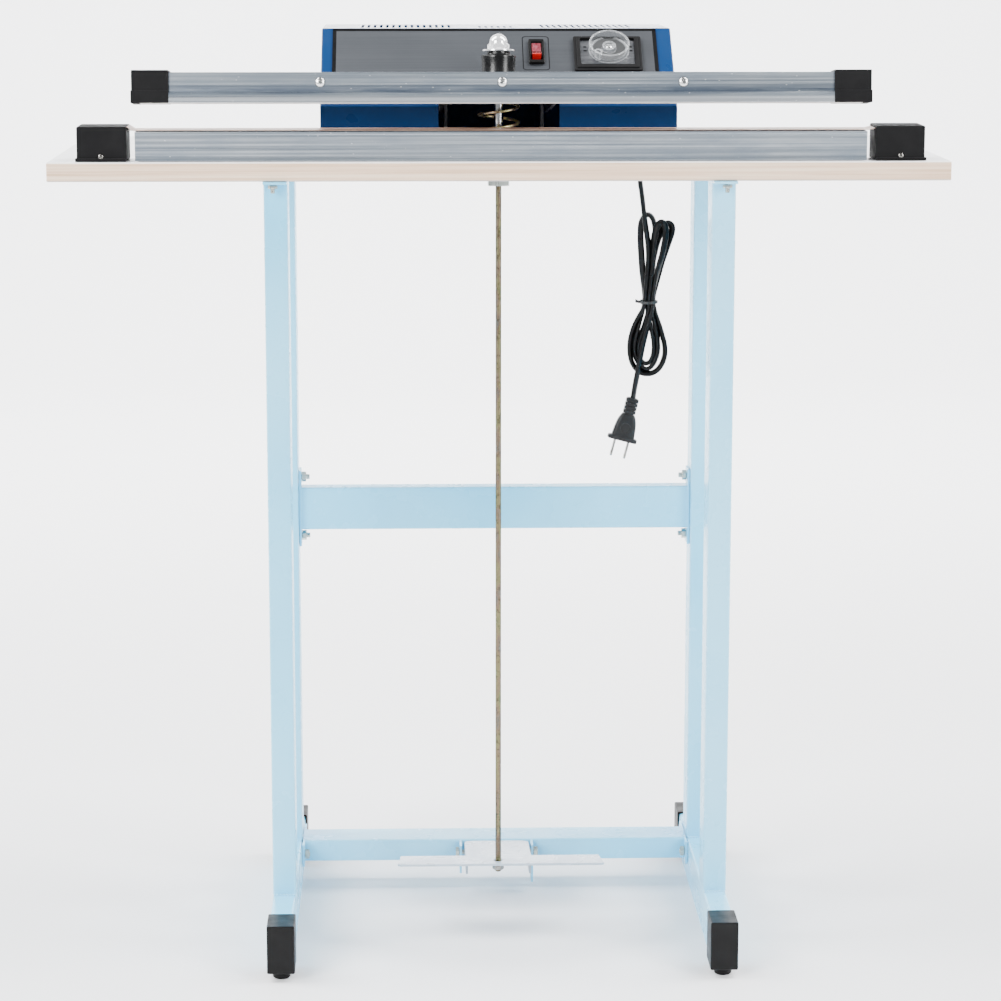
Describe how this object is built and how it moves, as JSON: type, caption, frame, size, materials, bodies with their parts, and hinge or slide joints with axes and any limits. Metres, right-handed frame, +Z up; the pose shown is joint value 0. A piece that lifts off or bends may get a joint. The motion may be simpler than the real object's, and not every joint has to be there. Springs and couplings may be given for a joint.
{
  "type": "impulse heat sealer",
  "caption": "Free-standing foot-pedal impulse heat sealer: long jaws on a narrow table over a tube stand, with a control housing behind them and a pull rod down to the pedal.",
  "frame": {"origin": "on the floor, under the middle of the machine's footprint without its mains cord", "axes": "+Z up, +X to the operator's right, -Y towards the operator"},
  "size_m": [0.75, 0.398, 0.787],
  "materials": {
    "melamine": "white melamine board with a banded edge",
    "stand_paint": "gloss light blue powder coat",
    "cap_plastic": "moulded, black",
    "zinc": "zinc plate, dulled",
    "zinc_bright": "bright zinc plate",
    "zinc_yellow": "yellow passivated zinc",
    "chrome": "polished",
    "aluminium": "extruded, lightly scratched",
    "ribbon": "flat resistance ribbon",
    "ptfe": "coated glass cloth, brown",
    "silicone": "pale silicone",
    "box_plastic": "moulded, black",
    "brass": "plain",
    "arm_steel": "dark paint",
    "rubber": "black",
    "housing_paint": "gloss dark blue paint",
    "label": "grey foil",
    "switch_plastic": "black",
    "rocker_red": "red, see-through",
    "clear_plastic": "clear",
    "core": "laminated steel",
    "winding": "taped copper winding",
    "cord": "black flex",
    "plug": "moulded, dark grey"
  },
  "bodies": {
    "stand": {"table_top": "melamine", "leg_front_left": "stand_paint", "leg_front_right": "stand_paint", "leg_rear_left": "stand_paint", "leg_rear_right": "stand_paint", "foot_tube_left": "stand_paint", "foot_tube_right": "stand_paint", "crossbar_upper": "stand_paint", "crossbar_lower": "stand_paint", "foot_cap_front_left": "cap_plastic", "foot_cap_front_right": "cap_plastic", "foot_cap_rear_left": "cap_plastic", "foot_cap_rear_right": "cap_plastic", "table_bolt_left": "zinc", "table_bolt_right": "zinc", "upper_bar_bolt_left_1": "zinc", "upper_bar_bolt_left_2": "zinc", "upper_bar_bolt_right_1": "zinc", "upper_bar_bolt_right_2": "zinc", "lower_bar_bolt_left": "zinc", "lower_bar_bolt_right": "zinc", "rod_guide": "zinc", "pedal_pivot_pin": "zinc", "lower_jaw": "aluminium", "heating_ribbon": "ribbon", "ptfe_tape": "ptfe", "terminal_box_left": "box_plastic", "terminal_box_right": "box_plastic", "timer_body": "box_plastic", "ribbon_clamp_left": "brass", "ribbon_clamp_right": "brass", "pivot_bracket": "arm_steel", "pivot_bolt_left": "zinc_bright", "pivot_bolt_right": "zinc_bright", "return_spring": "zinc_yellow", "housing": "housing_paint", "control_label": "label", "switch_body": "switch_plastic", "transformer_core": "core", "transformer_coil": "winding", "cord_gland": "cord", "cord_lead": "cord", "cord_hank": "cord", "cord_tail": "cord", "plug": "plug"},
    "arm": {"arm_bracket": "arm_steel", "upper_jaw": "aluminium", "silicone_strip": "silicone", "jaw_cap_left": "box_plastic", "jaw_cap_right": "box_plastic", "rubber_buffer": "rubber", "buffer_washer": "zinc_bright", "acorn_nut": "chrome"},
    "pull_rod": {"draw_bar": "zinc_bright", "pedal_rod": "zinc_yellow", "rod_nut": "zinc"},
    "pedal": {"pedal": "stand_paint"},
    "rocker": {"power_rocker": "rocker_red"},
    "knob": {"timer_knob": "clear_plastic"}
  },
  "joints": [
    {"name": "arm_close", "type": "hinge", "parent": "stand", "child": "arm", "pos_m": [0, 0.104, 0.72], "axis": [1, 0, 0], "range_deg": [0, 5.83], "stiffness_Nm_per_rad": 10, "springref_deg": -28.65},
    {"name": "rod_pull", "type": "slide", "parent": "stand", "child": "pull_rod", "axis": [0, 0, -1], "range_m": [0, 0.0162], "deforming": ["return_spring"]},
    {"name": "pedal_press", "type": "hinge", "parent": "stand", "child": "pedal", "pos_m": [0, 0.042, 0.038], "axis": [1, 0, 0], "range_deg": [0, 9.7]},
    {"name": "rocker_tip", "type": "hinge", "parent": "stand", "child": "rocker", "pos_m": [0.0336, -0.01436, 0.76631], "axis": [1, 0, 0], "range_deg": [0, 20]},
    {"name": "knob_turn", "type": "hinge", "parent": "stand", "child": "knob", "pos_m": [0.0957, -0.01388, 0.76667], "axis": [0, 0.6031, -0.7977], "range_deg": [0, 300]}
  ],
  "couplings": [
    {"joint": "rod_pull", "follows": "arm_close", "m_per_rad": 0.1588},
    {"joint": "pedal_press", "follows": "arm_close", "ratio": 1.651}
  ]
}
